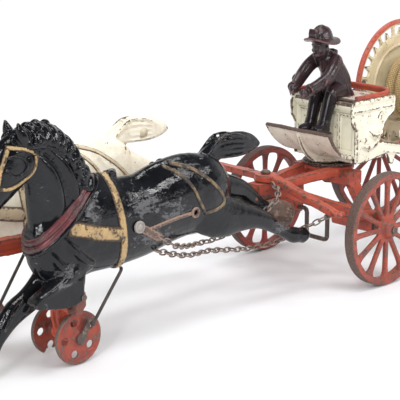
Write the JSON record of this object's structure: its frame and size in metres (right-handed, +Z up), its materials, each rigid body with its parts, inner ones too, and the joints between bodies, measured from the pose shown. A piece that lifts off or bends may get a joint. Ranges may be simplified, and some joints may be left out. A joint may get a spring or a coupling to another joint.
{
  "type": "toy hose wagon with horse team",
  "caption": "Cast iron toy hose-reel wagon with a seated driver, spoked wheels and a galloping horse team on small trolleys, joined by a pole and trace chains.",
  "frame": {"origin": "on the floor, under the middle of the whole toy's bounding box", "axes": "+X towards the wagon's rear, +Y to the team's right-hand side, +Z up"},
  "size_m": [0.5392, 0.1346, 0.1772],
  "materials": {
    "cream": "aged cream paint worn to dark iron at the edges",
    "red": "worn vermilion paint",
    "iron": "dark rusty iron",
    "black": "glossy black enamel with rubbed patches",
    "white": "cream white enamel with dark chips",
    "brown": "dark brown-purple paint",
    "hose": "tan woven cloth"
  },
  "bodies": {
    "wagon": {"near_body_side": "cream", "far_body_side": "cream", "seat_box": "cream", "body_floor": "cream", "seat_rail": "red", "footboard": "cream", "turntable_plate": "black", "kingpin": "black", "rear_step": "cream", "driver": "brown"},
    "fore_gear": {"fore_carriage": "red", "pole": "red", "splinter_bar": "red", "hitch_rivet": "iron", "crank_stay": "iron", "near_trace_outer": "iron", "near_trace_inner": "iron", "far_trace_outer": "iron"},
    "front_wheels": {"near_front_wheel": "red", "far_front_wheel": "red", "crank_axle": "iron"},
    "rear_wheels": {"near_rear_wheel": "red", "far_rear_wheel": "red", "rear_axle": "iron"},
    "hose_reel": {"near_reel_flange": "cream", "far_reel_flange": "cream", "reel_drum": "cream", "reel_axle": "iron", "hose_winding": "hose"},
    "near_horse": {"near_horse_outer_half": "black", "near_horse_inner_half": "black", "near_horse_rivet": "iron", "near_bracket_pin": "iron"},
    "near_trolley": {"near_trolley_bracket": "red"},
    "near_trolley_wheels": {"near_trolley_outer_wheel": "red", "near_trolley_inner_wheel": "red", "near_trolley_axle": "iron"},
    "near_rod": {"near_gallop_rod": "iron"},
    "far_horse": {"far_horse_outer_half": "white", "far_horse_inner_half": "white", "far_horse_rivet": "iron", "far_bracket_pin": "iron"},
    "far_trolley": {"far_trolley_bracket": "red"},
    "far_trolley_wheels": {"far_trolley_outer_wheel": "red", "far_trolley_inner_wheel": "red", "far_trolley_axle": "iron"},
    "far_rod": {"far_gallop_rod": "iron"}
  },
  "joints": [
    {"name": "steering", "type": "hinge", "parent": "wagon", "child": "fore_gear", "pos_m": [0.08062, 0, 0.0768], "axis": [0, 0, 1], "range_deg": [-20, 20]},
    {"name": "front_axle_spin", "type": "hinge", "parent": "fore_gear", "child": "front_wheels", "pos_m": [0.07462, 0, 0.04], "axis": [0, 1, 0], "continuous": true},
    {"name": "rear_axle_spin", "type": "hinge", "parent": "wagon", "child": "rear_wheels", "pos_m": [0.20962, 0, 0.06], "axis": [0, 1, 0], "continuous": true},
    {"name": "reel_spin", "type": "hinge", "parent": "wagon", "child": "hose_reel", "pos_m": [0.18762, 0, 0.119], "axis": [0, 1, 0], "continuous": true},
    {"name": "near_gallop", "type": "hinge", "parent": "fore_gear", "child": "near_horse", "pos_m": [-0.02138, -0.03, 0.072], "axis": [0, 1, 0], "range_deg": [0, 5], "deforming": ["near_trace_outer", "near_trace_inner"]},
    {"name": "near_trolley_swing", "type": "hinge", "parent": "near_horse", "child": "near_trolley", "pos_m": [-0.17838, -0.038, 0.045], "axis": [0, 1, 0], "range_deg": [-8, 8]},
    {"name": "near_trolley_spin", "type": "hinge", "parent": "near_trolley", "child": "near_trolley_wheels", "pos_m": [-0.17438, -0.019, 0.0164], "axis": [0, 1, 0], "continuous": true},
    {"name": "near_rod_swing", "type": "hinge", "parent": "near_horse", "child": "near_rod", "pos_m": [-0.14238, -0.0325, 0.0533], "axis": [0, 1, 0], "range_deg": [-12, 12]},
    {"name": "far_gallop", "type": "hinge", "parent": "fore_gear", "child": "far_horse", "pos_m": [-0.04738, 0.03, 0.077], "axis": [0, 1, 0], "range_deg": [0, 5], "deforming": ["far_trace_outer"]},
    {"name": "far_trolley_swing", "type": "hinge", "parent": "far_horse", "child": "far_trolley", "pos_m": [-0.20438, 0.038, 0.05], "axis": [0, 1, 0], "range_deg": [-8, 8]},
    {"name": "far_trolley_spin", "type": "hinge", "parent": "far_trolley", "child": "far_trolley_wheels", "pos_m": [-0.20038, 0.041, 0.0164], "axis": [0, 1, 0], "continuous": true},
    {"name": "far_rod_swing", "type": "hinge", "parent": "far_horse", "child": "far_rod", "pos_m": [-0.16838, 0.0275, 0.0583], "axis": [0, 1, 0], "range_deg": [-12, 12]}
  ]
}
